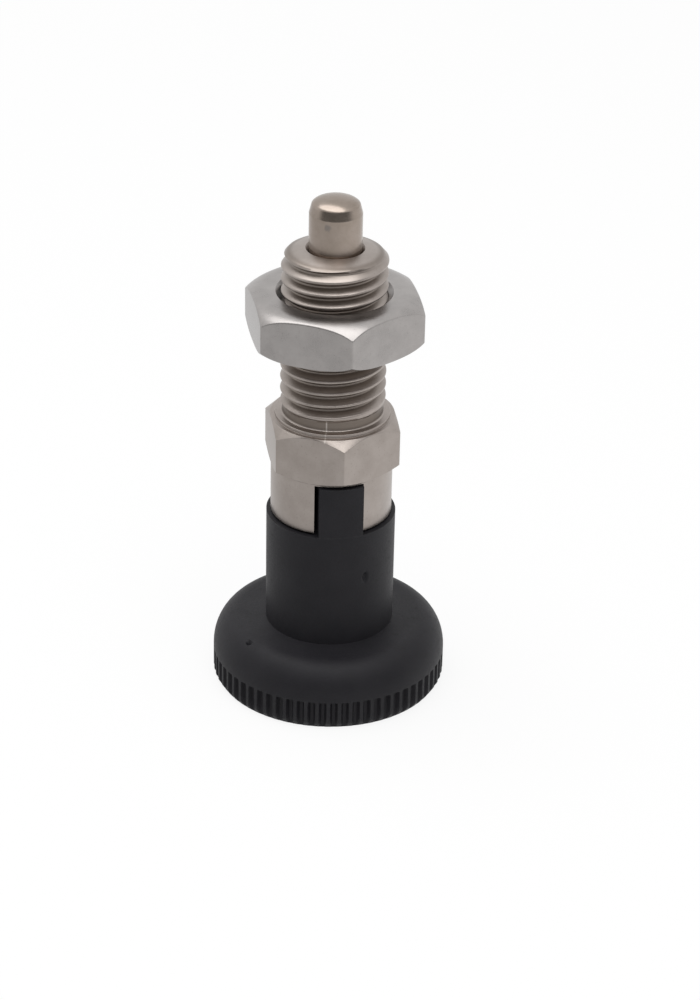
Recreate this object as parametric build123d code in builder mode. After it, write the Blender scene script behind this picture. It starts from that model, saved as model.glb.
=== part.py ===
"""Indexing plunger with rest position and lock nut.

A spring-loaded locating pin slides in a threaded guide. Pulling the knob draws the pin back against
its spring. Two tongues on the knob's sleeve then leave the slot in the guide, and after a quarter
turn they stand on the guide's end face and hold the pin back.

Millimetres. +Z runs from the knob to the tip of the pin, along the common axis. The origin is the
centre of the knob's outer face, on which the plunger stands. The knob's tongues face -Y and +Y.
"""

import os
from math import asin, cos, degrees, radians, sin, sqrt, tan

from build123d import *

# ---- guide (stainless steel, turned from hexagonal bar) --------------------------------------
COLLAR_AF = 14.25  # across the flats of the hexagonal collar
COLLAR_H = 5.8
CORNER_BEVEL = 30  # degrees, of the turned-off corners of collar and nut
BARREL_SKIM = 0.125  # radial, by which the barrel is turned to below the flats
BARREL_L = 6.35
SLOT_W = 5.61
SLOT_TO_COLLAR = 0.32  # metal left between the slot and the collar
SEAT_RING_INSET = 0.4  # radial, from the barrel's diameter to the raised seat ring
SEAT_RING_H = 0.4
THREAD_D = 12.0  # M12 x 1.5, drawn at its outer diameter
THREAD_L = 19.5  # from the seat ring to the nose face
NECK_RELIEF = 0.25  # radial, from the thread's diameter to the plain neck behind it
NECK_L = 1.2
NECK_BREAK = 0.3  # bevel between the neck and the seat
NOSE_BEVEL_W = 0.36  # long bevel on the first thread
NOSE_BEVEL_L = 1.0
NOSE_BREAK_W = 0.44  # flatter break between that bevel and the nose face
NOSE_BREAK_H = 0.3
MOUTH_BEVEL = 0.55  # countersink round the pin
BEARING_L = 11.0  # length of the bore that guides the pin
CHAMBER_D = 8.0  # bore for the spring
EDGE_BREAK = 0.15  # on small turned edges

# ---- locating pin (stainless steel, one turned piece) ----------------------------------------
PIN_D = 5.97
PIN_CLEARANCE = 0.03  # radial, in the guide's bore
PIN_REACH = 6.2  # beyond the nose face
TIP_ROUND_W = 1.285
TIP_ROUND_H = 1.75
STOP_H = 2.0  # collar that meets the shoulder of the chamber
STOP_CLEARANCE = 0.1  # radial, in the chamber
SHANK_D = 4.0
KNURL_RISE = 0.2  # height of the teeth above the shank
KNURL_TEETH = 12
KNURL_LEAD = 1.0  # plain shank at each end of the knurl

# ---- spring seat bush (pressed into the back of the chamber) ---------------------------------
BUSH_L = 5.8
BUSH_CLEARANCE = 0.05  # radial, round the shank

# ---- return spring ---------------------------------------------------------------------------
WIRE_D = 0.8
SPRING_CLEARANCE = 0.2  # radial, in the chamber
SPRING_TURNS = 6  # free turns between the closed ends
CLOSED_GAP = 0.03  # between a closed end turn and the next
WIRE_SIDES = 6  # sides of the section that stands for the round wire

# ---- lock nut (stainless steel) --------------------------------------------------------------
NUT_AF = 18.5
NUT_H = 5.7
NUT_FACE_INSET = 0.6  # radial, from the flats to the flat part of each face
NUT_CLEARANCE = 0.05  # radial, on the thread diameter
NUT_SINK = 0.55  # countersink at each end of the bore
NUT_STANDOFF = 9.05  # from the seat ring to the nut

# ---- knob (black moulded plastic, one piece) -------------------------------------------------
KNOB_D = 27.3  # over the ribs of the rim
KNOB_H = 7.65  # thickness of the disc
RIM_H = 3.65  # height of the upright rim, up to the domed shoulder
SHOULDER_W = 3.1  # how far the dome runs in from the rim
FLUTES = 66
FIRST_RIB = -88.6  # degrees, place of a rib
FLUTE_W = 0.72  # width of one flute at the rim
FLUTE_FLOOR_W = 0.4
FLUTE_DEPTH = 0.33
FLUTE_END = 0.1  # from the end of the flutes to the shoulder
RIM_BEVEL_W = 0.5  # bevel round the outer face
RIM_BEVEL_H = 0.8
RECESS_D = 17.0  # shallow recess in the outer face
RECESS_DEPTH = 0.3
SLEEVE_L = 14.1  # from the disc to the mouth
SLEEVE_STEP = 0.48  # radial, by which the sleeve stands out from the barrel
CAVITY_DEPTH = 9.5  # hollow of the sleeve, below its mouth
HOLLOW_CLEARANCE = 0.3  # radial, from the bush's diameter to the inside of sleeve and tongues
SOCKET_FLOOR = 2.6  # plastic left under the pin's end
TONGUE_PLAY = 0.5  # slot width less tongue width
TONGUE_HEAD_GAP = 0.25  # above the tongue, in the slot
TURN_TAKEN_UP = 0.95  # share of the play by which slot and tongues stand turned to each other
MOUTH_SEAM = 0.2  # between the sleeve's mouth and the guide's end face

# ---- drawing aids ----------------------------------------------------------------------------
CORNER_ON_Y = 30  # degrees, turns a hexagon so that a corner points along Y
ROUND_STEPS = 4  # chords that stand for a quarter round
CUT_MARGIN = 0.5  # by which a cutting profile runs past what it cuts

# ---- heights along the axis ------------------------------------------------------------------
disc_top = KNOB_H
sleeve_top = disc_top + SLEEVE_L
cavity_bottom = sleeve_top - CAVITY_DEPTH
knurl_bottom = SOCKET_FLOOR + KNURL_LEAD
knurl_l = cavity_bottom - KNURL_LEAD - knurl_bottom
barrel_bottom = sleeve_top + MOUTH_SEAM
collar_bottom = barrel_bottom + BARREL_L
collar_middle = collar_bottom + COLLAR_H / 2
collar_top = collar_bottom + COLLAR_H
slot_top = collar_bottom - SLOT_TO_COLLAR
seat_z = collar_top + SEAT_RING_H
nose_z = seat_z + THREAD_L
tip_z = nose_z + PIN_REACH
shoulder_z = nose_z - BEARING_L
stop_bottom = shoulder_z - STOP_H
bush_top = barrel_bottom + BUSH_L
spring_l = stop_bottom - bush_top
nut_bottom = seat_z + NUT_STANDOFF
nut_top = nut_bottom + NUT_H

# ---- radii and widths ------------------------------------------------------------------------
barrel_r = COLLAR_AF / 2 - BARREL_SKIM
seat_ring_r = barrel_r - SEAT_RING_INSET
thread_r = THREAD_D / 2
neck_r = thread_r - NECK_RELIEF
nose_r = thread_r - NOSE_BEVEL_W
chamber_r = CHAMBER_D / 2
pin_r = PIN_D / 2
bearing_r = pin_r + PIN_CLEARANCE
stop_r = chamber_r - STOP_CLEARANCE
shank_r = SHANK_D / 2
coil_r = chamber_r - SPRING_CLEARANCE - WIRE_D / 2
nut_face_r = NUT_AF / 2 - NUT_FACE_INSET
nut_bore_r = thread_r + NUT_CLEARANCE
nut_sink_r = nut_bore_r + NUT_SINK
knob_r = KNOB_D / 2
sleeve_r = barrel_r + SLEEVE_STEP
hollow_r = chamber_r + HOLLOW_CLEARANCE
tongue_w = SLOT_W - TONGUE_PLAY
slot_turn = -degrees(asin(TURN_TAKEN_UP * TONGUE_PLAY / 2 / barrel_r))
first_flute = FIRST_RIB + 180 / FLUTES
across = 2 * (sleeve_r + CUT_MARGIN)  # length of slot and tongues before they are cut round


def turned_corners(face_r, bottom, top, flat_width):
    """Half section of a turned blank that bevels a hexagon's corners outside face_r."""
    reach = flat_width / sqrt(3) + CUT_MARGIN
    drop = (reach - face_r) * tan(radians(CORNER_BEVEL))
    return [
        (0, bottom),
        (face_r, bottom),
        (reach, bottom + drop),
        (reach, top - drop),
        (face_r, top),
        (0, top),
    ]


def rounding(side_r, top, width, height):
    """Points along a quarter ellipse that leads from a turned side in to a flat top."""
    points = []
    for step in range(ROUND_STEPS + 1):
        angle = radians(90 * step / ROUND_STEPS)
        inward = width * (1 - cos(angle))
        below = height * (1 - sin(angle))
        points.append((side_r - inward, top - below))
    return points


def flute_outline():
    """Section of one flute, which widens from its floor outwards, with +X pointing outwards."""
    widening = (FLUTE_W - FLUTE_FLOOR_W) / 2 / FLUTE_DEPTH
    reach = FLUTE_DEPTH + CUT_MARGIN
    floor = FLUTE_FLOOR_W / 2
    mouth = floor + widening * reach
    return [(0, -floor), (reach, -mouth), (reach, mouth), (0, floor)]


def knurl_outline():
    """Points round the knurl, alternately at the foot and at the top of a tooth."""
    points = []
    for half_tooth in range(2 * KNURL_TEETH):
        angle = radians(half_tooth * 180 / KNURL_TEETH)
        radius = shank_r + KNURL_RISE if half_tooth % 2 else shank_r
        points.append((radius * cos(angle), radius * sin(angle)))
    return points


# ================================ guide body ==================================================
with BuildPart() as guide_body:
    # hexagonal collar, a corner facing -Y, with its corners turned off above and below
    with BuildSketch(Plane.XY.offset(collar_bottom)):
        RegularPolygon(COLLAR_AF / 2, 6, major_radius=False, rotation=CORNER_ON_Y)
    extrude(amount=COLLAR_H)
    with BuildSketch(Plane.XZ):
        with BuildLine():
            Polyline(*turned_corners(barrel_r, collar_bottom, collar_top, COLLAR_AF), close=True)
        make_face()
    revolve(axis=Axis.Z, mode=Mode.INTERSECT)

    # everything that is turned: barrel, seat ring, neck and thread
    with BuildSketch(Plane.XZ):
        with BuildLine():
            Polyline(
                (0, barrel_bottom),
                (barrel_r - EDGE_BREAK, barrel_bottom),
                (barrel_r, barrel_bottom + EDGE_BREAK),
                (barrel_r, collar_middle),
                (seat_ring_r, collar_middle),
                (seat_ring_r, seat_z),
                (neck_r + NECK_BREAK, seat_z),
                (neck_r, seat_z + NECK_BREAK),
                (neck_r, seat_z + NECK_L),
                (thread_r, seat_z + NECK_L + NECK_RELIEF),
                (thread_r, nose_z - NOSE_BEVEL_L),
                (nose_r, nose_z - NOSE_BREAK_H),
                (nose_r - NOSE_BREAK_W, nose_z),
                (0, nose_z),
                close=True,
            )
        make_face()
    revolve(axis=Axis.Z)

    # stepped bore: countersunk mouth, bearing for the pin, chamber for the spring
    with BuildSketch(Plane.XZ):
        with BuildLine():
            Polyline(
                (0, nose_z),
                (bearing_r + MOUTH_BEVEL, nose_z),
                (bearing_r, nose_z - MOUTH_BEVEL),
                (bearing_r, shoulder_z),
                (chamber_r, shoulder_z),
                (chamber_r, barrel_bottom),
                (0, barrel_bottom),
                close=True,
            )
        make_face()
    revolve(axis=Axis.Z, mode=Mode.SUBTRACT)

    # slot across the barrel for the knob's tongues
    with BuildSketch(Plane.XY.offset(barrel_bottom)):
        Rectangle(SLOT_W, across, rotation=slot_turn)
    extrude(amount=slot_top - barrel_bottom, mode=Mode.SUBTRACT)

# ================================ locating pin ================================================
with BuildPart() as locating_pin:
    with BuildSketch(Plane.XZ):
        with BuildLine():
            Polyline(
                (0, SOCKET_FLOOR),
                (shank_r - EDGE_BREAK, SOCKET_FLOOR),
                (shank_r, SOCKET_FLOOR + EDGE_BREAK),
                (shank_r, stop_bottom),
                (stop_r, stop_bottom),
                (stop_r, shoulder_z),
                (pin_r, shoulder_z),
                *rounding(pin_r, tip_z, TIP_ROUND_W, TIP_ROUND_H),
                (0, tip_z),
                close=True,
            )
        make_face()
    revolve(axis=Axis.Z)

    # straight knurl by which the shank holds in the knob
    with BuildSketch(Plane.XY.offset(knurl_bottom)):
        with BuildLine():
            Polyline(*knurl_outline(), close=True)
        make_face()
    extrude(amount=knurl_l)

# ================================ spring seat bush ============================================
with BuildPart() as spring_seat_bush:
    with BuildSketch(Plane.XY.offset(barrel_bottom)):
        Circle(chamber_r)
        Circle(shank_r + BUSH_CLEARANCE, mode=Mode.SUBTRACT)
    extrude(amount=BUSH_L)

# ================================ return spring ===============================================
with BuildPart() as return_spring:
    closed_pitch = WIRE_D + CLOSED_GAP
    free_l = spring_l - 2 * closed_pitch
    # one closed turn at each end and the free turns between; the wire's centre line runs from one
    # end plane to the other
    with BuildLine() as coil:
        first = Helix(closed_pitch, closed_pitch, coil_r, center=(0, 0, bush_top))
        Helix(
            free_l / SPRING_TURNS,
            free_l,
            coil_r,
            center=(0, 0, bush_top + closed_pitch),
        )
        Helix(
            closed_pitch,
            closed_pitch,
            coil_r,
            center=(0, 0, stop_bottom - closed_pitch),
        )
    with BuildSketch(Plane(first @ 0, z_dir=first % 0)):
        RegularPolygon(WIRE_D / 2, WIRE_SIDES, rotation=180 / WIRE_SIDES)
    sweep(path=coil.wires()[0], is_frenet=True)
    # both ends are ground flat
    with BuildSketch(Plane.XY.offset(bush_top)):
        Circle(chamber_r)
    extrude(amount=spring_l, mode=Mode.INTERSECT)

# ================================ lock nut ====================================================
with BuildPart() as lock_nut:
    with BuildSketch(Plane.XY.offset(nut_bottom)):
        RegularPolygon(NUT_AF / 2, 6, major_radius=False, rotation=CORNER_ON_Y)
    extrude(amount=NUT_H)
    with BuildSketch(Plane.XZ):
        with BuildLine():
            Polyline(*turned_corners(nut_face_r, nut_bottom, nut_top, NUT_AF), close=True)
        make_face()
    revolve(axis=Axis.Z, mode=Mode.INTERSECT)
    with BuildSketch(Plane.XZ):
        with BuildLine():
            Polyline(
                (0, nut_bottom),
                (nut_sink_r, nut_bottom),
                (nut_bore_r, nut_bottom + NUT_SINK),
                (nut_bore_r, nut_top - NUT_SINK),
                (nut_sink_r, nut_top),
                (0, nut_top),
                close=True,
            )
        make_face()
    revolve(axis=Axis.Z, mode=Mode.SUBTRACT)

# ================================ knob ========================================================
with BuildPart() as knob:
    # outside: recessed and bevelled foot, upright rim, domed shoulder, flat, sleeve
    with BuildSketch(Plane.XZ):
        with BuildLine():
            Polyline(
                (0, RECESS_DEPTH),
                (RECESS_D / 2, RECESS_DEPTH),
                (RECESS_D / 2, 0),
                (knob_r - RIM_BEVEL_W, 0),
                (knob_r, RIM_BEVEL_H),
                *rounding(knob_r, disc_top, SHOULDER_W, disc_top - RIM_H),
                (sleeve_r, disc_top),
                (sleeve_r, sleeve_top - EDGE_BREAK),
                (sleeve_r - EDGE_BREAK, sleeve_top),
                (0, sleeve_top),
                close=True,
            )
        make_face()
    revolve(axis=Axis.Z)

    # flutes round the rim
    with BuildSketch():
        with PolarLocations(knob_r - FLUTE_DEPTH, FLUTES, start_angle=first_flute):
            Polygon(*flute_outline(), align=None)
    extrude(amount=RIM_H - FLUTE_END, mode=Mode.SUBTRACT)

    # tongues, which carry the sleeve's surface on into the slot
    with BuildSketch(Plane.XY.offset(cavity_bottom)):
        Circle(sleeve_r)
        Rectangle(tongue_w, across, mode=Mode.INTERSECT)
    extrude(amount=slot_top - TONGUE_HEAD_GAP - cavity_bottom)

    # hollow of the sleeve, and the socket for the pin in its floor
    with BuildSketch(Plane.XZ):
        with BuildLine():
            Polyline(
                (0, slot_top),
                (hollow_r, slot_top),
                (hollow_r, cavity_bottom),
                (shank_r, cavity_bottom),
                (shank_r, SOCKET_FLOOR),
                (0, SOCKET_FLOOR),
                close=True,
            )
        make_face()
    revolve(axis=Axis.Z, mode=Mode.SUBTRACT)

    # the knurl's form, in plastic
    with BuildSketch(Plane.XY.offset(knurl_bottom)):
        with BuildLine():
            Polyline(*knurl_outline(), close=True)
        make_face()
    extrude(amount=knurl_l, mode=Mode.SUBTRACT)

# ================================ export ======================================================
os.makedirs("parts", exist_ok=True)
pieces = {
    "guide_body": guide_body,
    "locating_pin": locating_pin,
    "spring_seat_bush": spring_seat_bush,
    "return_spring": return_spring,
    "lock_nut": lock_nut,
    "knob": knob,
}
for name, piece in pieces.items():
    piece.part.label = name
    export_step(piece.part, f"parts/{name}.step")
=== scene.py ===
import math

import bmesh
import bpy
import numpy as np
from mathutils import Matrix, Quaternion, Vector


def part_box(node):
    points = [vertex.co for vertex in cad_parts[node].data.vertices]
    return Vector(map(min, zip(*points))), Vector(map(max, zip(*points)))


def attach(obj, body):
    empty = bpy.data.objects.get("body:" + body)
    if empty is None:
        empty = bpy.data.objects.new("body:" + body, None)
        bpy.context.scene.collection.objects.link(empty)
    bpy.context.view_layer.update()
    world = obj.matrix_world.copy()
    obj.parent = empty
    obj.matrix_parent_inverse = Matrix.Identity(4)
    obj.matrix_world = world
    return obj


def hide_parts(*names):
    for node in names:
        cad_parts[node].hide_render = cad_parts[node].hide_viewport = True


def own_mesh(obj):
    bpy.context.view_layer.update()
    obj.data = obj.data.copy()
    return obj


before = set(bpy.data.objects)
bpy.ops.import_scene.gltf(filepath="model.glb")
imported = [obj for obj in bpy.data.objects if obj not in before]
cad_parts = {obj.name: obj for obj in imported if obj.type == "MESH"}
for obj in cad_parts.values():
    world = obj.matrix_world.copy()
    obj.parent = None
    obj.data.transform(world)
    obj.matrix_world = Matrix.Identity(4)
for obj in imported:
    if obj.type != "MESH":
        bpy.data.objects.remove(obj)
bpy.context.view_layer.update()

# The dressed indexing plunger. Sizes are in millimetres, angles in degrees, heights along +Z from
# the knob's outer face. Meshes are turned into metres when they are made. What the frame doesn't
# give was measured in the photo, or tried until the render looked like it.
MM = 0.001


def box_mm(node):
    """Lowest and highest corner of a CAD node, in millimetres."""
    low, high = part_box(node)
    return low / MM, high / MM


guide_low, guide_high = box_mm("guide_body")
pin_low, pin_high = box_mm("locating_pin")
_, bush_high = box_mm("spring_seat_bush")
_, spring_high = box_mm("return_spring")
nut_low, nut_high = box_mm("lock_nut")
_, knob_high = box_mm("knob")

# ---- sizes read from the frame ---------------------------------------------------------------
COLLAR_AF = 2 * guide_high.x
BARREL_BOTTOM = guide_low.z
NOSE_Z = guide_high.z
PIN_TIP = pin_high.z
PIN_END = pin_low.z
STOP_BOTTOM = spring_high.z
BUSH_TOP = bush_high.z
CHAMBER_R = bush_high.x
NUT_AF = 2 * nut_high.x
NUT_BOTTOM = nut_low.z
NUT_TOP = nut_high.z
KNOB_R = knob_high.x
TONGUE_TOP = knob_high.z

# ---- sizes that no box shows: guide ----------------------------------------------------------
BARREL_R = 7.0
BARREL_L = 6.35
COLLAR_H = 5.8
BEVEL_R = 7.1  # the collar's corners are bevelled outside this radius
UPPER_BEVEL = 40  # slope of those bevels
LOWER_BEVEL = 28
UPPER_BREAK = 0.1  # height of the edge break that goes all round
LOWER_BREAK = 0.05
COLLAR_CORNER = 0.12
SEAT_RING_R = 6.6
SEAT_RING_H = 0.4
NECK_R = 5.75
NECK_L = 1.2
NECK_FILLET = 0.22
THREAD_R = 6.0
NOSE_EDGE_R = 5.42  # edge between the nose's bevel and its face
NOSE_EDGE_Z = 53.88
NOSE_BEVEL_L = 0.65
CROWN_R = 2.24  # the nose's face is part of a ring whose section is a circle round this radius
CROWN_CURVE = 8.5  # radius of that circle
MOUTH_BEVEL = 0.3
BEARING_R = 3.015
BEARING_L = 11.0
SEAM_H = 1.0  # the guide's section begins and ends this far up its chamber
SLOT_W = 5.61
SLOT_TURN = -1.944
SLOT_GAP = 0.14  # between the tongues' ends and the slot's head

# ---- pin, spring and nut ---------------------------------------------------------------------
PIN_R = 2.985
TIP_Z = PIN_TIP + 0.28  # top of the tip's dome, which is a part of an ellipse
TIP_CONE_Z = 58.6  # the tip's lead-in cone begins here, and meets the dome in a rounded corner
TIP_CONE_ROUND = 0.6
TIP_CORNER_R = 2.69
TIP_CORNER_ROUND = 0.5
DOME_R = 2.95  # half axes of the ellipse
DOME_H = 1.27
DOME_STEPS = 12
DOME_START = 4  # the corner's rounding takes the place of the steps before this one
STOP_R = 3.9
STOP_H = 2.0
SHANK_R = 2.0
KNURL_RISE = 0.2
KNURL_TEETH = 12
KNURL_LEAD = 1.0
WIRE_R = 0.4
COIL_R = 3.4
CLOSED_PITCH = 0.83
SPRING_TURNS = 6
NUT_TURN = 1.2  # by which its corners stand round from the collar's
NUT_CORNER = 0.3
NUT_CROWN_TOP = (7.9, 3.4, 0.25)  # flat part of the face, curve outside it, edge's rounding
NUT_CROWN_BOTTOM = (8.35, 3.0, 0.15)
NUT_SINK_R = 6.6
NUT_MINOR_R = 5.19
THREAD_CLEARANCE = 0.05
NUT_MOUTH_R = THREAD_R + THREAD_CLEARANCE  # plain mouth below, which goes over the guide's neck
NUT_MOUTH_H = 1.9

# ---- knob ------------------------------------------------------------------------------------
DISC_TOP = 7.65
RIM_H = 3.65
SHOULDER_W = 3.1
FLUTES = 66
FIRST_RIB = -88.6
FLUTE_DEPTH = 0.5
FLUTE_HALF = 0.35  # half the groove's width at the rim, as a share of the flutes' spacing
FLUTE_FLOOR = 0.4  # width of the groove's floor, as a share of its width at the rim
FLUTE_ARCH = 0.45  # height of the round end of a groove
FLUTE_END = 0.1  # from there up to the shoulder's foot
FLUTE_END_W = 0.8  # width of the round end's top, as a share of the groove's width
RIM_BEVEL_W = 0.5
RIM_BEVEL_H = 0.8
RECESS_R = 8.5
RECESS_DEPTH = 0.3
SLEEVE_TOP = 21.75
SLEEVE_R = 7.48
CAVITY_DEPTH = 9.5
HOLLOW_R = 4.3
TONGUE_W = 5.11
TONGUE_RISE = 0.25  # by which the tongues end higher than the solid's

collar_bottom = BARREL_BOTTOM + BARREL_L
collar_top = collar_bottom + COLLAR_H
seat_z = collar_top + SEAT_RING_H
tongue_top = TONGUE_TOP + TONGUE_RISE
slot_top = tongue_top + SLOT_GAP
shoulder_z = NOSE_Z - BEARING_L

# ---- the thread: ISO metric profile, right hand, with softened crests ------------------------
PITCH = 1.5
CREST_Z = 0.59  # height of a crest on the +X side, above a whole number of pitches
CREST_ROUND = 0.2
CREST_END = CREST_ROUND * math.cos(math.radians(30))
ROOT_ROUND = 0.2165
ROOT_CENTRE = PITCH / 2 * math.sqrt(3) - CREST_ROUND - 2 * ROOT_ROUND
ROOT_START = PITCH / 2 - ROOT_ROUND * math.cos(math.radians(30))
CREST_ROWS = (0.0, 0.045, 0.09, 0.135, CREST_END)
ROOT_ROWS = (0.37, ROOT_START, 0.62, 0.685)
THREAD_ROWS = sorted({*CREST_ROWS, *ROOT_ROWS, *(-x for x in CREST_ROWS + ROOT_ROWS), PITCH / 2})
RUNOUT_LOW = seat_z + 1.1  # a groove's root has run out when it comes down to here
RUNOUT_H = 0.6
LEAD_IN_LOW = NOSE_Z - 0.9  # the thread's first groove deepens down to here
LEAD_IN_HIGH = NOSE_Z + 0.3


def thread_depth(offset):
    """Depth of the thread below its nominal radius, at an axial distance from a crest's middle."""
    x = np.abs((offset + PITCH / 2) % PITCH - PITCH / 2)
    crest = CREST_ROUND - np.sqrt(np.clip(CREST_ROUND**2 - x**2, 0, None))
    flank = x * math.sqrt(3) - CREST_ROUND
    root = ROOT_CENTRE + np.sqrt(np.clip(ROOT_ROUND**2 - (x - PITCH / 2) ** 2, 0, None))
    return np.select([x < CREST_END, x < ROOT_START], [crest, flank], root)


def crest_height(angle):
    """Height of the crest nearest the origin, at an angle round the axis in radians."""
    return CREST_Z + PITCH * angle / (2 * math.pi)


def thread_rows(angle, low, high):
    """Heights between low and high that follow the thread, the same number at every angle."""
    turns = np.arange(math.floor(low / PITCH) - 2, math.ceil(high / PITCH) + 2)
    rows = (turns[:, None] * PITCH + np.array(THREAD_ROWS)[None, :]).ravel()
    return np.clip(rows + crest_height(angle), low, high)


# ================================ mesh helpers ================================================
def clean(mesh, smooth_angle):
    """Merges points that coincide, turns all faces outwards and keeps sharp edges sharp."""
    bm = bmesh.new()
    bm.from_mesh(mesh)
    bmesh.ops.remove_doubles(bm, verts=bm.verts, dist=2e-6)
    bmesh.ops.dissolve_degenerate(bm, edges=bm.edges, dist=1e-7)
    bmesh.ops.recalc_face_normals(bm, faces=bm.faces)
    bm.to_mesh(mesh)
    bm.free()
    mesh.shade_smooth()
    mesh.set_sharp_from_angle(angle=math.radians(smooth_angle))


def new_object(name, vertices, faces, smooth_angle=35):
    """A closed mesh from vertices in millimetres."""
    mesh = bpy.data.meshes.new(name)
    mesh.from_pydata((np.asarray(vertices) * MM).tolist(), [], faces)
    clean(mesh, smooth_angle)
    obj = bpy.data.objects.new(name, mesh)
    bpy.context.scene.collection.objects.link(obj)
    return obj


def turned(name, angles, profile, ring=True, **options):
    """A body of revolution whose half section may change on the way round.

    angles holds one angle in radians for each column, or for each column and point, and profile a
    (radius, height) for each column and point. The first and the last column lie on each other.
    The section of a ring closes on itself, and any other section begins and ends on the axis.
    """
    columns, points = profile.shape[:2]
    angles = angles if angles.ndim == 2 else angles[:, None]
    x = profile[:, :, 0] * np.cos(angles)
    y = profile[:, :, 0] * np.sin(angles)
    vertices = np.stack([x, y, profile[:, :, 1]], axis=2).reshape(-1, 3)
    faces = []
    for j in range(columns - 1):
        here, there = j * points, (j + 1) * points
        for k in range(points if ring else points - 1):
            up = (k + 1) % points
            faces.append((here + k, there + k, there + up, here + up))
    return new_object(name, vertices, faces, **options)


def arc(centre_r, centre_z, radius, start, stop, steps):
    """Points along an arc of a half section, by slope from +Z outwards, in degrees."""
    slopes = np.radians(np.linspace(start, stop, steps + 1))
    return [(centre_r + radius * math.sin(s), centre_z + radius * math.cos(s)) for s in slopes]


def softened(points, steps=3):
    """Replaces each corner (radius, height, rounding) by an arc, or keeps one without rounding."""
    flat = [np.array(p[:2], float) for p in points]
    out = [flat[0]]
    for i in range(1, len(points) - 1):
        here, rounding = flat[i], points[i][2]
        if not rounding:
            out.append(here)
            continue
        back, ahead = flat[i - 1] - here, flat[i + 1] - here
        back_l, ahead_l = np.linalg.norm(back), np.linalg.norm(ahead)
        back, ahead = back / back_l, ahead / ahead_l
        if np.linalg.norm(back + ahead) < 1e-6:
            out += [here] * (steps + 1)
            continue
        half = math.acos(np.clip(back @ ahead, -1, 1)) / 2
        run = min(rounding / math.tan(half), 0.45 * back_l, 0.45 * ahead_l)
        radius = run * math.tan(half)
        centre = here + (back + ahead) / np.linalg.norm(back + ahead) * radius / math.sin(half)
        first, final = here + back * run - centre, here + ahead * run - centre
        turn = math.atan2(first[0] * final[1] - first[1] * final[0], first @ final)
        for step in range(steps + 1):
            c, s = math.cos(turn * step / steps), math.sin(turn * step / steps)
            out.append(centre + (first[0] * c - first[1] * s, first[0] * s + first[1] * c))
    out.append(flat[-1])
    return out


def full_circle(count, corners=(), spread=()):
    """Angles from -180 to 180 in radians, both included, with extra ones beside each corner."""
    angles = {round(-180 + i * 360 / count, 6) for i in range(count + 1)}
    for corner in corners:
        angles.update(round(corner + side, 6) for side in spread)
    return np.radians(sorted(angles))


def hexagon_radius(angle, flats, corner_round):
    """Distance from the axis to a hexagon with a rounded corner on -Y, at an angle in radians."""
    from_corner = abs((math.degrees(angle) + 90 + 30) % 60 - 30)
    flat = flats / 2 / math.cos(math.radians(30 - from_corner))
    centre = (flats / 2 - corner_round) / math.cos(math.radians(30))
    reach = centre + corner_round * math.cos(math.radians(30))
    tangent = math.degrees(math.atan2(corner_round / 2, reach))
    if from_corner >= tangent:
        return flat
    off = centre * math.sin(math.radians(from_corner))
    return centre * math.cos(math.radians(from_corner)) + math.sqrt(corner_round**2 - off**2)


def cut(obj, tool, smooth_angle=35):
    """Cuts a tool out of an object and removes it."""
    modifier = obj.modifiers.new("cut", "BOOLEAN")
    modifier.operation = "DIFFERENCE"
    modifier.solver = "EXACT"
    modifier.object = tool
    graph = bpy.context.evaluated_depsgraph_get()
    mesh = bpy.data.meshes.new_from_object(obj.evaluated_get(graph))
    obj.modifiers.clear()
    obj.data = mesh
    bpy.data.objects.remove(tool)
    clean(obj.data, smooth_angle)


def block(name, low, high, turn=0.0):
    """A box between two corners in millimetres, turned about the axis."""
    x, y, z = zip(low, high)
    corners = np.array([(x[i], y[j], z[k]) for i in (0, 1) for j in (0, 1) for k in (0, 1)])
    c, s = math.cos(math.radians(turn)), math.sin(math.radians(turn))
    corners = corners @ np.array([(c, s, 0), (-s, c, 0), (0, 0, 1)])
    faces = [(0, 1, 3, 2), (4, 6, 7, 5), (0, 4, 5, 1), (2, 3, 7, 6), (0, 2, 6, 4), (1, 5, 7, 3)]
    return new_object(name, corners, faces)


# ================================ guide =======================================================
HEX_CORNERS = [-150 + 60 * i for i in range(6)]
CORNER_SPREAD = (-1.6, -1.1, -0.75, -0.4, 0, 0.4, 0.75, 1.1, 1.6)  # columns beside each corner
NECK_END = seat_z + NECK_L
THREAD_START = NECK_END - 0.3  # below this height the section has no rows of the thread


def blank_radius(z):
    """Outer radius of the front of the guide before its thread is cut."""
    heights = [THREAD_START, NECK_END, NECK_END + THREAD_R - NECK_R]
    heights += [NOSE_EDGE_Z - NOSE_BEVEL_L, NOSE_EDGE_Z]
    return np.interp(z, heights, [NECK_R, NECK_R, THREAD_R, THREAD_R, NOSE_EDGE_R])


def nose_face(steps=9):
    """The crowned face of the nose, from its edge in to the pin's bore."""
    def rise(r):
        return math.sqrt(CROWN_CURVE**2 - (r - CROWN_R) ** 2)

    radii = np.linspace(NOSE_EDGE_R, BEARING_R + MOUTH_BEVEL, steps)
    return [(r, NOSE_EDGE_Z + rise(r) - rise(NOSE_EDGE_R), 0) for r in radii]


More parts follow.
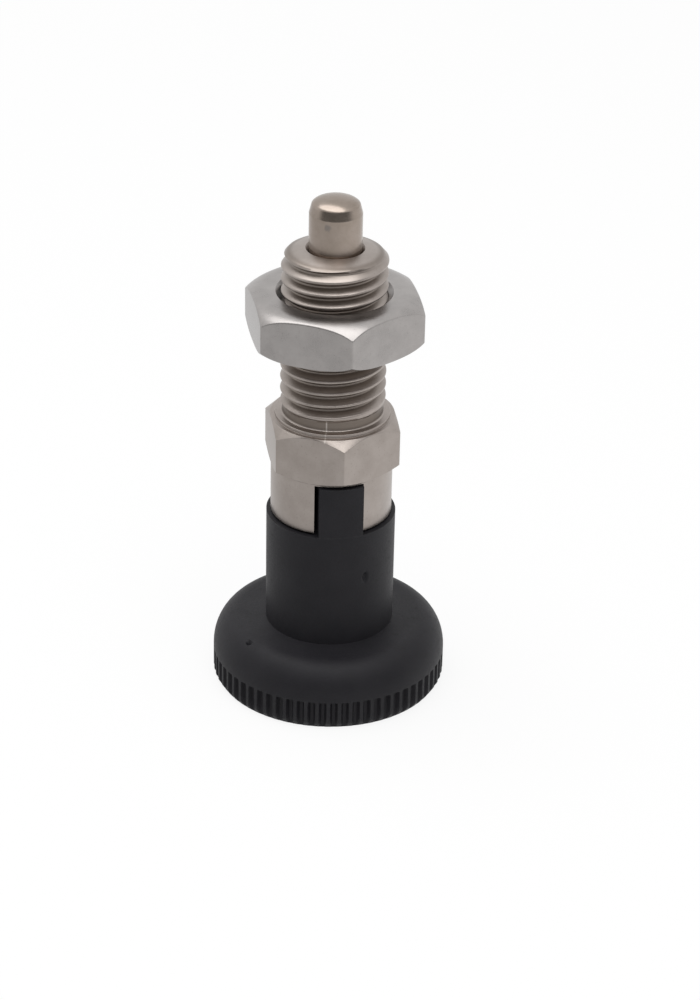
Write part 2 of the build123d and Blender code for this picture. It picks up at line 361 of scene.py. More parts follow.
def guide_section(angle):
    """Outline of the guide's half section at one angle, once round the wall."""
    hexagon = hexagon_radius(angle, COLLAR_AF, COLLAR_CORNER)
    upper = max(hexagon - BEVEL_R, 0) * math.tan(math.radians(UPPER_BEVEL))
    lower = max(hexagon - BEVEL_R, 0) * math.tan(math.radians(LOWER_BEVEL))
    inner = min(hexagon, BEVEL_R)
    rear = softened(
        [
            (CHAMBER_R, BARREL_BOTTOM + SEAM_H, 0),
            (CHAMBER_R, BARREL_BOTTOM, 0.1),
            (BARREL_R, BARREL_BOTTOM, 0.12),
            (BARREL_R, collar_bottom, 0),
            (inner, collar_bottom, 0.04),
            (hexagon, collar_bottom + lower + LOWER_BREAK, 0.04),
            (hexagon, collar_top - upper - UPPER_BREAK, 0.06),
            (inner, collar_top, 0.05),
            (SEAT_RING_R, collar_top, 0.04),
            (SEAT_RING_R, seat_z, 0.1),
            (NECK_R, seat_z, NECK_FILLET),
            (NECK_R, THREAD_START, 0),
        ]
    )
    z = thread_rows(angle, THREAD_START, NOSE_EDGE_Z)
    offset = z - crest_height(angle)
    root_z = z - offset % PITCH + PITCH / 2
    run_out = (root_z - RUNOUT_LOW) / RUNOUT_H
    lead_in = (LEAD_IN_HIGH - root_z) / (LEAD_IN_HIGH - LEAD_IN_LOW)
    share = np.clip(np.minimum(run_out, lead_in), 0, 1)
    depth = thread_depth(offset) * share * share * (3 - 2 * share)
    front = list(zip(np.minimum(blank_radius(z), THREAD_R - depth), z))
    face = nose_face()
    bore = softened(
        [
            *face,
            (BEARING_R, face[-1][1] - MOUTH_BEVEL, 0.05),
            (BEARING_R, shoulder_z, 0),
            (CHAMBER_R, shoulder_z, 0),
            (CHAMBER_R, BARREL_BOTTOM + SEAM_H, 0),
        ]
    )
    return np.array([*rear, *front, *bore])


def make_guide():
    angles = full_circle(192, HEX_CORNERS, CORNER_SPREAD)
    guide = turned("guide", angles, np.array([guide_section(a) for a in angles]))
    low = (-SLOT_W / 2, -2 * BARREL_R, BARREL_BOTTOM - 1)
    high = (SLOT_W / 2, 2 * BARREL_R, slot_top)
    cut(guide, block("slot", low, high, SLOT_TURN))
    return guide


# ================================ lock nut ====================================================
def crowned_edge(hexagon, flat_r, curve, edge):
    """(radius, height above the face) from the flat of a face out to the hexagon's side."""
    out = hexagon - edge - flat_r
    end = math.degrees(math.asin(out / (curve - edge)))
    crown = arc(flat_r, -curve, curve, 0, end, 8)
    corner = arc(hexagon - edge, math.sqrt((curve - edge) ** 2 - out**2) - curve, edge, end, 90, 6)
    return np.array(crown + corner[1:])


def nut_section(angle):
    """Outline of the nut's half section at one angle, once round."""
    hexagon = hexagon_radius(angle - math.radians(NUT_TURN), NUT_AF, NUT_CORNER)
    lower = crowned_edge(hexagon, *NUT_CROWN_BOTTOM) * (1, -1) + (0, NUT_BOTTOM)
    upper = crowned_edge(hexagon, *NUT_CROWN_TOP)[::-1] + (0, NUT_TOP)
    z = thread_rows(angle, NUT_BOTTOM, NUT_TOP)[::-1]
    groove = THREAD_R + THREAD_CLEARANCE - thread_depth(z - crest_height(angle))
    sink = NUT_SINK_R - np.minimum(z - NUT_BOTTOM, NUT_TOP - z)
    inner = np.where(z < NUT_BOTTOM + NUT_MOUTH_H, NUT_MOUTH_R, NUT_MINOR_R)
    bore = np.column_stack([np.maximum.reduce([groove, sink, inner]), z])
    return np.concatenate([lower, upper, bore])


def make_nut():
    angles = full_circle(168, [c + NUT_TURN for c in HEX_CORNERS], CORNER_SPREAD)
    return turned("nut", angles, np.array([nut_section(a) for a in angles]))


# ================================ pin =========================================================
def tip_curve():
    """Half section of the pin's tip, from its side up to the middle."""
    radii = TIP_CORNER_R * np.sin(np.linspace(math.pi / 2, 0, DOME_STEPS + 1))
    dome = [(r, TIP_Z - DOME_H * (1 - math.sqrt(1 - (r / DOME_R) ** 2)), 0) for r in radii]
    corner_r, corner_z, _ = dome[0]
    side = [(PIN_R, TIP_CONE_Z - 1, 0), (PIN_R, TIP_CONE_Z, TIP_CONE_ROUND)]
    corner = [(corner_r, corner_z, TIP_CORNER_ROUND)]
    return softened(side + corner + dome[DOME_START:], steps=7)


def make_pin():
    angles = full_circle(144)
    knurl_low = PIN_END + KNURL_LEAD
    knurl_high = SLEEVE_TOP - CAVITY_DEPTH - KNURL_LEAD
    step = 0.01  # the knurl's ends are all but square
    shank = softened([(0, PIN_END, 0), (SHANK_R, PIN_END, 0.15), (SHANK_R, knurl_low - step, 0)])
    knurl = [(SHANK_R, knurl_low), (SHANK_R, knurl_high)]
    stop = softened(
        [
            (SHANK_R, knurl_high + step, 0),
            (SHANK_R, STOP_BOTTOM, 0),
            (STOP_R, STOP_BOTTOM, 0.1),
            (STOP_R, STOP_BOTTOM + STOP_H, 0.1),
            (PIN_R, STOP_BOTTOM + STOP_H, 0),
        ]
    )
    profile = np.array([[*shank, *knurl, *stop, *tip_curve()]] * len(angles))
    tooth = np.abs((np.degrees(angles) * KNURL_TEETH / 360 % 1) * 2 - 1)
    profile[:, len(shank) : len(shank) + 2, 0] += KNURL_RISE * tooth[:, None]
    return turned("pin", angles, profile, ring=False)


# ================================ spring ======================================================
def make_spring():
    """The coil with its closed, ground ends, as a tube along a helix."""
    around, per_turn = 14, 48
    length = STOP_BOTTOM - BUSH_TOP
    turns = SPRING_TURNS + 2
    count = turns * per_turn
    bends = np.radians(np.arange(around) * 360 / around)
    vertices = []
    for i in range(count + 1):
        turn = i / per_turn
        a = 2 * math.pi * turn
        rises = [0, CLOSED_PITCH, length - CLOSED_PITCH, length]
        rise = np.interp(turn, [0, 1, turns - 1, turns], rises)
        for b in bends:
            r = COIL_R + WIRE_R * math.cos(b)
            z = np.clip(BUSH_TOP + rise + WIRE_R * math.sin(b), BUSH_TOP, STOP_BOTTOM)
            vertices.append((r * math.cos(a), r * math.sin(a), z))
    faces = [tuple(range(around)), tuple(range(count * around, (count + 1) * around))]
    for i in range(count):
        here, there = i * around, (i + 1) * around
        for k in range(around):
            next_k = (k + 1) % around
            faces.append((here + k, here + next_k, there + next_k, there + k))
    return new_object("spring", vertices, faces, smooth_angle=50)


# ================================ knob ========================================================
# Columns across one flute, from the middle of one rib to the next: where they stand across the
# groove, as a share of its half width, and how deep they lie in it.
FLUTE_ACROSS = (-1.0, -0.88, -0.66, -FLUTE_FLOOR, 0.0, FLUTE_FLOOR, 0.66, 0.88, 1.0)
FLUTE_SHARE = (0.0, 0.2, 0.78, 1.0, 1.0, 1.0, 0.78, 0.2, 0.0)
RIB_COLUMNS = (-0.5, -0.45, -0.39)
RIM_ROWS = (1.4, 2.1)  # heights on the rim's straight part
BEVEL_ROWS = (0.03, 0.16, 0.3, 0.5)  # heights on the rim's bevel, where the grooves run out
ARCH_ROWS = (0.3, 0.5, 0.66, 0.78, 0.87, 0.94, 0.98, 1)  # up the round end of a groove
FOOT_END = 10  # height where the sleeve's rounded foot ends
SLEEVE_ROWS = (12.5, 19.5)  # heights below and above the dent in the sleeve
PIT_SLOPES = (22, 23.5, 25, 26.4, 27.9, 29.4, 31, 33)  # extra rows over the dent in the shoulder
NICK = dict(angle=-66.9, z=16.1, across=0.34, along=0.55, depth=0.34)  # small dent in the sleeve
PIT = dict(angle=-153.0, r=11.54, across=0.36, along=0.26, depth=0.42)  # and one in the shoulder


def flute_columns():
    """(place in the flutes' spacing without the groove's narrowing, share across it, depth)."""
    ribs = [(p, None, 0.0) for p in RIB_COLUMNS]
    grooves = [(p * FLUTE_HALF, p, d) for p, d in zip(FLUTE_ACROSS, FLUTE_SHARE)]
    return ribs + grooves + [(-p, None, 0.0) for p in RIB_COLUMNS[:0:-1]]


def arch(z):
    """Share of a groove's width and depth that is left at a height, round at its upper end."""
    up = (z - (RIM_H - FLUTE_END - FLUTE_ARCH)) / FLUTE_ARCH
    return np.sqrt(np.clip(1 - np.clip(up, 0, 1) ** 2, 0, 1))


def knob_rows():
    """(radius, height) along a rib, from the recess up over the shoulder and down the bore."""
    rim = [(RECESS_R, RECESS_DEPTH), (RECESS_R, 0), (KNOB_R - RIM_BEVEL_W - 0.05, 0)]
    rim += [(KNOB_R - RIM_BEVEL_W * (1 - z / RIM_BEVEL_H), z) for z in BEVEL_ROWS]
    top = RIM_H - FLUTE_END
    rim += [(KNOB_R, z) for z in (RIM_BEVEL_H, *RIM_ROWS, top - FLUTE_ARCH)]
    rim += [(KNOB_R, top - FLUTE_ARCH * (1 - share)) for share in ARCH_ROWS]
    shoulder_r, shoulder_h = KNOB_R - SHOULDER_W, DISC_TOP - RIM_H
    dome = []
    for slope in sorted({*range(0, 91, 6), *PIT_SLOPES}, reverse=True):
        s = math.radians(slope)
        dome.append((shoulder_r + SHOULDER_W * math.sin(s), RIM_H + shoulder_h * math.cos(s)))
    foot = [(shoulder_r - 0.8, DISC_TOP, 0), (SLEEVE_R, DISC_TOP, 0.03), (SLEEVE_R, FOOT_END, 0)]
    near = NICK["z"] + NICK["along"] * np.linspace(-2, 2, 13)
    below, above = SLEEVE_ROWS
    sleeve = [(SLEEVE_R, z) for z in (below, *near, above, SLEEVE_TOP)]
    floor = SLEEVE_TOP - CAVITY_DEPTH
    shank = SHANK_R + KNURL_RISE + 0.01
    inside = [(SLEEVE_R, tongue_top), (HOLLOW_R, tongue_top), (HOLLOW_R, floor), (shank, floor)]
    inside += [(shank, PIN_END), (0, PIN_END)]
    return np.array([(0, RECESS_DEPTH), *rim, *dome, *softened(foot), *sleeve, *inside])


def dented(profile, angles, place, along_axis):
    """Sinks a small smooth dent into the surface, along its own normal."""
    radius, height = profile[:, :, 0], profile[:, :, 1]
    turn = (angles - math.radians(place["angle"]) + math.pi) % (2 * math.pi) - math.pi
    across = radius * turn / place["across"]
    along = (height - place["z"] if along_axis else radius - place["r"]) / place["along"]
    on_top = (height > RIM_H) & (radius > HOLLOW_R + 1)
    depth = place["depth"] * np.exp(-((across**2 + along**2) ** 2)) * on_top
    profile[:, :, 0] -= depth * along_axis
    profile[:, :, 1] -= depth * (not along_axis)


def make_knob():
    rows = knob_rows()
    fluted = (rows[:, 0] > KNOB_R - 2 * RIM_BEVEL_W) & (rows[:, 1] <= RIM_H - FLUTE_END + 1e-6)
    narrow = np.where(fluted, arch(rows[:, 1]), 1.0)
    spacing = 2 * math.pi / FLUTES
    angles, profile = [], []
    for flute in range(FLUTES):
        middle = math.radians(FIRST_RIB) + (flute + 0.5) * spacing
        for place, across, share in flute_columns():
            width = np.full(len(rows), place)
            if across is not None:
                width *= FLUTE_END_W + (1 - FLUTE_END_W) * narrow
            groove = np.minimum(rows[:, 0], KNOB_R - FLUTE_DEPTH * share * narrow)
            radius = np.where(fluted, groove, rows[:, 0])
            angles.append(middle + width * spacing)
            profile.append(np.column_stack([radius, rows[:, 1]]))
    angles.append(angles[0] + 2 * math.pi)
    profile.append(profile[0])
    angles, profile = np.array(angles), np.array(profile)
    dented(profile, angles, NICK, along_axis=True)
    dented(profile, angles, PIT, along_axis=False)
    knob = turned("grip", angles, profile, ring=False, smooth_angle=40)
    for side in (-1, 1):
        ends = sorted((side * TONGUE_W / 2, side * 2 * KNOB_R))
        low, high = (ends[0], -2 * KNOB_R, SLEEVE_TOP), (ends[1], 2 * KNOB_R, TONGUE_TOP + 1)
        cut(knob, block("mouth", low, high), smooth_angle=40)
    return knob


# ================================ materials ===================================================
# Tones are the dark and the light patches of a material.
GUIDE_TONES = (0.306, 0.270, 0.246), (0.365, 0.325, 0.299)
NUT_TONES = (0.305, 0.289, 0.281), (0.367, 0.348, 0.338)
PIN_TONES = (0.27, 0.225, 0.19), (0.32, 0.27, 0.235)
SPRING_TONES = (0.28, 0.28, 0.27), (0.34, 0.34, 0.33)
BUSH_TONES = (0.26, 0.245, 0.23), (0.31, 0.295, 0.28)
PLASTIC_TONES = (0.0130, 0.0124, 0.0152), (0.0176, 0.0168, 0.0200)
SCUFFED_TONE = (0.02, 0.02, 0.02)
RUBBED_TONE = (0.026, 0.026, 0.028)

EDGE_FADE = 0.06
RINGS = 9.0  # marks to a millimetre that turning has left
FINE_RINGS = 14.0
GRAIN_SPREAD = 14.0  # marks to a millimetre across the drawn grain, against 1 along it
MARKS_DEPTH = 0.0006
FINE_DEPTH = 0.0004
GRAIN_DEPTH = 0.014
WAVES_DEPTH = 0.03

SMUDGE_PLACE = (-1.35, -2.65, 57.9)
SMUDGE_TONE = (0.16, 0.15, 0.145)
# Painted shade: the thread's grooves, more the deeper they are, and the guide's neck under the
# thread get this darker colour.
PAINTED_SHADE_TONE = (0.13, 0.105, 0.085)
GROOVE_SHADE = 0.55
NECK_SHADE = 0.75
# A scratch on the neck and the collar's top, painted pale: the scratch is wear, its paleness is a
# painted glint.
SCRATCH_GLINT_TONE = (0.62, 0.58, 0.54)
SCRATCH_ANGLE = -106.4
SCRATCH_SPAN = 33.8, 35.9
SCRATCH_STRENGTH = 0.55


class Tree:
    """Short calls for building a node tree."""

    def __init__(self, tree):
        self.tree = tree

    def add(self, kind, **values):
        node = self.tree.nodes.new(kind)
        for key, value in values.items():
            setattr(node, key, value)
        return node

    def link(self, source, target):
        self.tree.links.new(source, target)

    def put(self, value, socket):
        if isinstance(value, bpy.types.NodeSocket):
            self.link(value, socket)
        else:
            socket.default_value = value

    def math(self, operation, *values):
        node = self.add("ShaderNodeMath", operation=operation)
        for value, socket in zip(values, node.inputs):
            self.put(value, socket)
        return node.outputs[0]

    def dot(self, vector, way):
        """The part of a vector along a fixed way."""
        node = self.add("ShaderNodeVectorMath", operation="DOT_PRODUCT")
        self.put(vector, node.inputs[0])
        self.put(way, node.inputs[1])
        return node.outputs["Value"]

    def between(self, factor, low, high, start=0.0, end=1.0, soft=False):
        """A number that runs from low to high as factor runs from start to end."""
        node = self.add("ShaderNodeMapRange")
        node.interpolation_type = "SMOOTHSTEP" if soft else "LINEAR"
        limits = {"From Min": start, "From Max": end, "To Min": low, "To Max": high}
        for name, value in limits.items():
            node.inputs[name].default_value = value
        self.link(factor, node.inputs["Value"])
        return node.outputs["Result"]

    def ray(self, kind):
        return self.add("ShaderNodeLightPath").outputs[f"Is {kind} Ray"]

    def sees_background(self):
        """1 for camera, glossy and transmission rays, and 0 for all others."""
        seen = self.math("MAXIMUM", self.ray("Camera"), self.ray("Glossy"))
        return self.math("MAXIMUM", seen, self.ray("Transmission"))


class Material(Tree):
    """A Principled material that knows the place on the object. Lengths are in millimetres."""

    def __init__(self, name):
        self.material = bpy.data.materials.new(name)
        self.material.use_nodes = True
        super().__init__(self.material.node_tree)
        self.shader = self.tree.nodes["Principled BSDF"]
        place = self.add("ShaderNodeVectorMath", operation="SCALE")
        place.inputs["Scale"].default_value = 1 / MM
        self.link(self.add("ShaderNodeTexCoord").outputs["Object"], place.inputs[0])
        self.place = place.outputs[0]
        split = self.add("ShaderNodeSeparateXYZ")
        self.link(self.place, split.inputs[0])
        self.x, self.y, self.z = split.outputs
        squares = self.math("MULTIPLY_ADD", self.x, self.x, self.math("POWER", self.y, 2))
        self.radius = self.math("SQRT", squares)

    def set(self, name, value):
        self.put(value, self.shader.inputs[name])

    def vector(self, x, y, z):
        node = self.add("ShaderNodeCombineXYZ")
        for value, socket in zip((x, y, z), node.inputs):
            self.put(value, socket)
        return node.outputs[0]

    def drawn_out(self, across):
        """The place with x and y scaled, for noise that has another grain along the axis."""
        x, y = self.math("MULTIPLY", self.x, across), self.math("MULTIPLY", self.y, across)
        return self.vector(x, y, self.z)

    def noise(self, vector, scale, detail=3, roughness=0.5):
        """Noise from 0 to 1, with scale features to a millimetre."""
        node = self.add("ShaderNodeTexNoise")
        node.inputs["Scale"].default_value = scale
        node.inputs["Detail"].default_value = detail
        node.inputs["Roughness"].default_value = roughness
        self.link(vector, node.inputs["Vector"])
        return node.outputs["Fac"]

    def band(self, value, low, high, fade):
        """1 where value lies between low and high, with soft ends."""
        rise = self.between(value, 0, 1, low - fade / 2, low + fade / 2, soft=True)
        fall = self.between(value, 0, 1, high - fade / 2, high + fade / 2, soft=True)
        return self.math("SUBTRACT", rise, fall)

    def worn(self, edges):
        """Up to 1 on edges, each given by its lowest and highest radius and height, in patches."""
        amount = 0.0
        for r_low, r_high, z_low, z_high in edges:
            beside = self.band(self.radius, r_low, r_high, EDGE_FADE)
            level = self.band(self.z, z_low, z_high, EDGE_FADE)
            amount = self.math("MAXIMUM", amount, self.math("MULTIPLY", beside, level))
        patches = self.noise(self.place, 1.6, detail=4)
        return self.math("MULTIPLY", amount, self.between(patches, 0.2, 1, 0.4, 0.62))

    def blend(self, factor, dark, light):
        """A colour from dark to light, each of them a tone or a socket."""
        node = self.add("ShaderNodeMix", data_type="RGBA")
        for value, name in ((dark, "A"), (light, "B")):
            self.put((*value, 1) if isinstance(value, tuple) else value, node.inputs[name])
        self.link(factor, node.inputs["Factor"])
        return node.outputs["Result"]

    def part(self, amount, share):
        """A share of an amount, each of them a number or a socket."""
        return self.math("MULTIPLY", amount, share)

    def bump(self, height, depth, under=None):
        node = self.add("ShaderNodeBump")
        node.inputs["Distance"].default_value = depth * MM
        self.link(height, node.inputs["Height"])
        if under is not None:
            self.link(under, node.inputs["Normal"])
        return node.outputs["Normal"]


def drawn_marks(m, turned_marks, grain_from):
    """Turned marks inside the radius grain_from, and the grain of drawn bar outside it."""
    drawn = m.noise(m.drawn_out(GRAIN_SPREAD), 1.0, detail=3, roughness=0.6)
    outside = m.between(m.radius, 0, 1, grain_from - 0.02, grain_from + 0.02)
    mix = m.add("ShaderNodeMix", data_type="FLOAT")
    for value, socket in zip((outside, turned_marks, drawn), (mix.inputs[0], *mix.inputs[2:4])):
        m.link(value, socket)
    return mix.outputs[0]


def steel(name, tones, rough, edges, rings=RINGS, grain_from=None, extra=None):
    """Bare steel: turned marks on its round faces, and a drawn grain outside grain_from.

    rough is its roughness, edges the places where its colour is lighter, from rubbed wear and, on
    the guide's collar, a painted highlight line, and extra a function that adds marks of its own to
    the colour, on the guide also painted shade and a painted glint.
    """
    dark, light = tones
    m = Material(name)
    m.set("Metallic", 1.0)
    patches = m.noise(m.place, 0.45, detail=5, roughness=0.6)
    colour = m.blend(m.between(patches, 0, 1, 0.35, 0.65), dark, light)
    round_place = m.vector(m.part(m.radius, rings), m.part(m.z, rings), 0)
    marks = m.noise(round_place, 1.0, detail=4, roughness=0.65)
    if grain_from:
        marks = drawn_marks(m, marks, grain_from)
    specks = m.between(m.noise(m.place, 5.0, detail=2), 0, 1, 0.64, 0.72)
    colour = m.blend(m.part(m.between(marks, 0, 1, 0.35, 0.65), 0.22), colour, light)
    colour = m.blend(m.part(specks, 0.35), colour, tuple(0.6 * c for c in dark))
    if extra:
        colour = extra(m, colour)
    # the edges get a lighter colour: rubbed wear, and on the guide's collar edge a painted
    # highlight line
    bright = tuple(1.3 * c for c in light)
    m.set("Base Color", m.blend(m.part(m.worn(edges), 0.2), colour, bright))
    level, spread = rough
    by_marks = m.between(marks, -spread, spread, 0.3, 0.7)
    by_patches = m.between(patches, -spread, spread, 0.3, 0.7)
    uneven = m.math("ADD", m.math("ADD", by_marks, by_patches), level)
    m.set("Roughness", m.math("MAXIMUM", uneven, 0.08))
    fine = m.bump(m.noise(m.place, 16.0, detail=2), FINE_DEPTH)
    m.set("Normal", m.bump(marks, MARKS_DEPTH, under=fine))
    return m.material


def smudged(m, colour):
    """A small grey smudge on the pin's side."""
    away = m.add("ShaderNodeVectorMath", operation="DISTANCE")
    away.inputs[1].default_value = SMUDGE_PLACE
    m.link(m.place, away.inputs[0])
    blot = m.math("ADD", away.outputs["Value"], m.between(m.noise(m.place, 2.5), -0.35, 0.35))
    return m.blend(m.between(blot, 0.6, 0, 0.15, 0.55, soft=True), colour, SMUDGE_TONE)


def guide_shade_and_scratch(m, colour):
    """The neck and the thread's grooves get a darker colour as painted shade, and a scratch painted
    pale with a painted glint crosses the neck.
    """
    # painted shade: darker colour in the thread's grooves, more the deeper they are, and on the
    # neck below the thread
    threaded = m.band(m.z, seat_z + 0.15, NOSE_EDGE_Z + 0.2, 0.2)
    outer = m.between(m.radius, 0, 1, BEARING_R + 1, BEARING_R + 1.4)
    deep = m.between(m.radius, GROOVE_SHADE, 0, THREAD_R - 0.85, THREAD_R - 0.1, soft=True)
    neck = m.part(m.band(m.z, seat_z + 0.1, NECK_END, 0.2), NECK_SHADE)
    painted_shade = m.part(m.part(threaded, outer), m.math("MAXIMUM", deep, neck))
    colour = m.blend(painted_shade, colour, PAINTED_SHADE_TONE)
    # the pale scratch: wear with a painted glint on it
    way = math.radians(SCRATCH_ANGLE)
    off = m.math("MULTIPLY_ADD", m.x, -math.sin(way), m.part(m.y, math.cos(way)))
    ahead = m.math("MULTIPLY_ADD", m.x, math.cos(way), m.part(m.y, math.sin(way)))
    thin = m.between(m.math("ABSOLUTE", off), 1, 0, 0.03, 0.11, soft=True)
    near = m.part(m.band(m.z, *SCRATCH_SPAN, 0.3), m.between(ahead, 0, 1, 5.2, 5.6))
    return m.blend(m.part(m.part(thin, near), SCRATCH_STRENGTH), colour, SCRATCH_GLINT_TONE)


def black_plastic(edges):
    m = Material("black_plastic")
    tone = m.noise(m.place, 0.25, detail=5)
    colour = m.blend(m.between(tone, 0, 1, 0.3, 0.7), *PLASTIC_TONES)
    scuffs = m.noise(m.drawn_out(0.4), 2.2, detail=6)
    scuffed = m.between(scuffs, 0, 1, 0.56, 0.72, soft=True)
    colour = m.blend(m.part(scuffed, 0.4), colour, SCUFFED_TONE)
    m.set("Base Color", m.blend(m.part(m.worn(edges), 0.5), colour, RUBBED_TONE))
    m.set("Specular IOR Level", 0.2)
    grain = m.noise(m.place, 7.0, detail=4, roughness=0.6)
    rough = m.math("ADD", m.between(grain, 0.46, 0.62, 0.3, 0.7), m.part(scuffed, 0.08))
    m.set("Roughness", rough)
    m.set("Normal", m.bump(grain, GRAIN_DEPTH, under=m.bump(tone, WAVES_DEPTH)))
    return m.material


# ---- rubbed edges, and one painted highlight line: lowest and highest radius, lowest and highest height ---
GUIDE_WEAR_AND_HIGHLIGHT_EDGES = [
    (THREAD_R - 0.05, THREAD_R + 0.1, NECK_END, NOSE_EDGE_Z),
    # the collar's lower edge: rubbed wear, with a painted highlight line along it
    (BARREL_R + 0.02, 9.0, collar_bottom - 0.1, collar_bottom + 0.1),
    (BARREL_R - 0.1, BARREL_R + 0.1, BARREL_BOTTOM - 0.1, BARREL_BOTTOM + 0.1),
]
NUT_EDGES = [(NUT_SINK_R - 0.06, NUT_SINK_R + 0.1, NUT_TOP - 0.1, NUT_TOP + 0.1)]
PIN_EDGES = [(TIP_CORNER_R - 0.25, TIP_CORNER_R + 0.1, TIP_CONE_Z + 0.9, TIP_CONE_Z + 1.6)]
SPRING_EDGES = [(COIL_R + WIRE_R - 0.05, COIL_R + WIRE_R + 0.1, BUSH_TOP, STOP_BOTTOM)]
BUSH_EDGES = [(CHAMBER_R - 0.15, CHAMBER_R + 0.1, BUSH_TOP - 0.15, BUSH_TOP + 0.1)]
KNOB_EDGES = [(KNOB_R - 0.06, KNOB_R + 0.1, 0.7, RIM_H)]
KNOB_EDGES += [
    (SLEEVE_R - 0.1, SLEEVE_R + 0.1, end - 0.12, end + 0.1) for end in (SLEEVE_TOP, tongue_top)
]

guide_steel = steel(
    "guide_steel",
    GUIDE_TONES,
    (0.36, 0.03),
    GUIDE_WEAR_AND_HIGHLIGHT_EDGES,
    grain_from=BARREL_R + 0.05,
    extra=guide_shade_and_scratch,
)
nut_steel = steel("nut_steel", NUT_TONES, (0.30, 0.03), NUT_EDGES, grain_from=9.0)
pin_steel = steel(
    "pin_steel", PIN_TONES, (0.24, 0.02), PIN_EDGES, rings=FINE_RINGS, extra=smudged
)
spring_steel = steel("spring_steel", SPRING_TONES, (0.28, 0.03), SPRING_EDGES)
bush_steel = steel("bush_steel", BUSH_TONES, (0.32, 0.03), BUSH_EDGES)


# ================================ pieces ======================================================
def dress(obj, material, body, replaced):
    """Gives a piece its material and its body, and hides the CAD node that it stands for."""
    obj.data.materials.clear()
    obj.data.materials.append(material)
    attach(obj, body)
    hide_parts(replaced)


spring = make_spring()
dress(make_guide(), guide_steel, "guide", "guide_body")
dress(make_nut(), nut_steel, "nut", "lock_nut")
dress(make_pin(), pin_steel, "plunger", "locating_pin")
dress(spring, spring_steel, "guide", "return_spring")
dress(make_knob(), black_plastic(KNOB_EDGES), "plunger", "knob")
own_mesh(spring)
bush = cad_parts["spring_seat_bush"]
bush.data.materials.clear()
bush.data.materials.append(bush_steel)

# ================================ floor, light and camera =====================================
FLOOR_SIZE = 4.0
FLOOR_COLOUR = 0.85
FLOOR_GLOW = 0.86  # the floor's own light for rays that see the background, under its shading
FLOOR_SHADING = 0.15
FLOOR_SLOPE = 0.16  # by this share the glow rises towards the bright side, for glossy rays
BRIGHT_SIDE = (0.985, 0.174, 0.0)
FILL = 0.40  # the world's light on diffuse surfaces
DARK_SIDE = (-0.1736, -0.985, 0.0)  # the studio's dark side, which only glossy rays see
DARKNESS = 0.8
DARK_FROM, DARK_FULL = 0.1, 0.6  # how far a ray points to the dark side
LOW_FULL, LOW_UNTIL = 0.25, 0.60  # how far a ray points up, where the dark side ends
LAMP_WATTS = 3.1
LAMP_WIDTH = 1.1
LAMP_DEPTH = 0.55
LAMP_WAY = Vector((-0.100, -0.088, 0.991))  # from the plunger to the lamp
LAMP_AWAY = 0.6
LAMP_TURN = -10  # about the plunger's axis, so that its long side faces the camera
CAMERA_DISTANCE = 316.56  # from a point on the axis
CAMERA_PIVOT_Z = 27.0  # height of that point
CAMERA_ELEVATION = 27.852
CAMERA_SWING = -10.0
CAMERA_ROLL = 1.229
CAMERA_TARGET = Vector((2.206, 0, 22.748))  # before the swing
LENS_PX = 2750.88
FRAME_PX = 1000
SENSOR = 36.0


def make_floor():
    mesh = bpy.data.meshes.new("floor")
    h = FLOOR_SIZE / 2
    mesh.from_pydata([(-h, -h, 0), (h, -h, 0), (h, h, 0), (-h, h, 0)], [], [(0, 1, 2, 3)])
    floor = bpy.data.objects.new("floor", mesh)
    bpy.context.scene.collection.objects.link(floor)
    material = bpy.data.materials.new("floor")
    material.use_nodes = True
    material.node_tree.nodes.clear()
    tree = Tree(material.node_tree)

    def diffuse(level):
        node = tree.add("ShaderNodeBsdfDiffuse")
        node.inputs["Color"].default_value = (level, level, level, 1)
        return node.outputs[0]

    way = tree.add("ShaderNodeVectorMath", operation="NORMALIZE")
    tree.link(tree.add("ShaderNodeTexCoord").outputs["Object"], way.inputs[0])
    more = tree.dot(way.outputs["Vector"], [c * FLOOR_GLOW * FLOOR_SLOPE for c in BRIGHT_SIDE])
    glow = tree.add("ShaderNodeEmission")
    strength = tree.math("MULTIPLY_ADD", more, tree.ray("Glossy"), FLOOR_GLOW)
    tree.link(strength, glow.inputs["Strength"])
    seen = tree.add("ShaderNodeAddShader")
    tree.link(diffuse(FLOOR_SHADING), seen.inputs[0])
    tree.link(glow.outputs[0], seen.inputs[1])
    choice = tree.add("ShaderNodeMixShader")
    shaders = tree.sees_background(), diffuse(FLOOR_COLOUR), seen.outputs[0]
    for source, socket in zip(shaders, choice.inputs):
        tree.link(source, socket)
    tree.link(choice.outputs[0], tree.add("ShaderNodeOutputMaterial").inputs["Surface"])
    floor.data.materials.append(material)
    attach(floor, "plunger")  # it stays under the knob that stands on it, also a pulled one


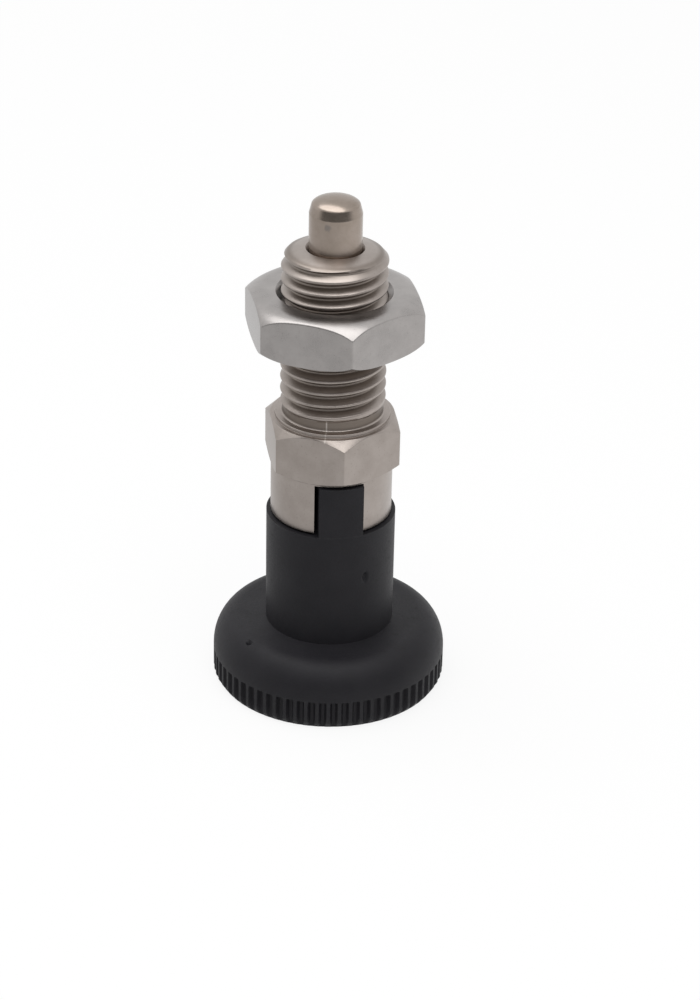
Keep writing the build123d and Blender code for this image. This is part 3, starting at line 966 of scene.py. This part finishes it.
def make_world():
    """White for rays that see it, apart from a dark side, and an even fill light for the rest."""
    world = bpy.data.worlds.new("studio")
    bpy.context.scene.world = world
    world.use_nodes = True
    tree = Tree(world.node_tree)
    direction = tree.add("ShaderNodeTexCoord").outputs["Generated"]
    split = tree.add("ShaderNodeSeparateXYZ")
    tree.link(direction, split.inputs[0])
    high = tree.between(split.outputs["Z"], 0, 1, LOW_FULL, LOW_UNTIL, soft=True)
    aside = tree.between(tree.dot(direction, DARK_SIDE), 0, 1, DARK_FROM, DARK_FULL, soft=True)
    shade = tree.math("MULTIPLY", aside, tree.math("SUBTRACT", 1.0, high))
    dark = tree.math("MULTIPLY", tree.math("MULTIPLY", shade, DARKNESS), tree.ray("Glossy"))
    white = tree.math("SUBTRACT", 1.0, dark)
    above_fill = tree.math("SUBTRACT", white, FILL)
    strength = tree.math("MULTIPLY_ADD", tree.sees_background(), above_fill, FILL)
    background = world.node_tree.nodes["Background"]
    background.inputs["Color"].default_value = (1, 1, 1, 1)
    tree.link(strength, background.inputs["Strength"])


def make_lamp():
    lamp = bpy.data.lights.new("overhead", "AREA")
    lamp.shape = "ELLIPSE"
    lamp.size = LAMP_WIDTH
    lamp.size_y = LAMP_DEPTH
    lamp.energy = LAMP_WATTS
    obj = bpy.data.objects.new("overhead", lamp)
    obj.location = LAMP_WAY * LAMP_AWAY + Vector((0, 0, PIN_TIP / 2 * MM))
    obj.rotation_mode = "QUATERNION"
    turn = Quaternion((0, 0, 1), math.radians(LAMP_TURN))
    obj.rotation_quaternion = turn @ LAMP_WAY.to_track_quat("Z", "Y")
    bpy.context.scene.collection.objects.link(obj)


def make_camera():
    """The camera stands 10 degrees left of the slot and looks down on the plunger."""
    e, r = math.radians(CAMERA_ELEVATION), math.radians(CAMERA_ROLL)
    swing = Matrix.Rotation(math.radians(CAMERA_SWING), 3, "Z")
    back, rise = CAMERA_DISTANCE * math.cos(e), CAMERA_DISTANCE * math.sin(e)
    place = swing @ Vector((0, -back, rise + CAMERA_PIVOT_Z))
    forward = (swing @ CAMERA_TARGET - place).normalized()
    right = forward.cross(Vector((0, 0, 1))).normalized()
    up = right.cross(forward)
    right, up = right * math.cos(r) + up * math.sin(r), up * math.cos(r) - right * math.sin(r)
    data = bpy.data.cameras.new("camera")
    data.sensor_width = SENSOR
    data.lens = LENS_PX * SENSOR / FRAME_PX
    data.clip_start = 0.01
    data.clip_end = 20
    camera = bpy.data.objects.new("camera", data)
    rotation = Matrix((right, up, -forward)).transposed().to_4x4()
    camera.matrix_world = Matrix.Translation(place * MM) @ rotation
    bpy.context.scene.collection.objects.link(camera)
    bpy.context.scene.camera = camera


make_floor()
make_world()
make_lamp()
make_camera()
bpy.context.scene.view_settings.view_transform = "Standard"
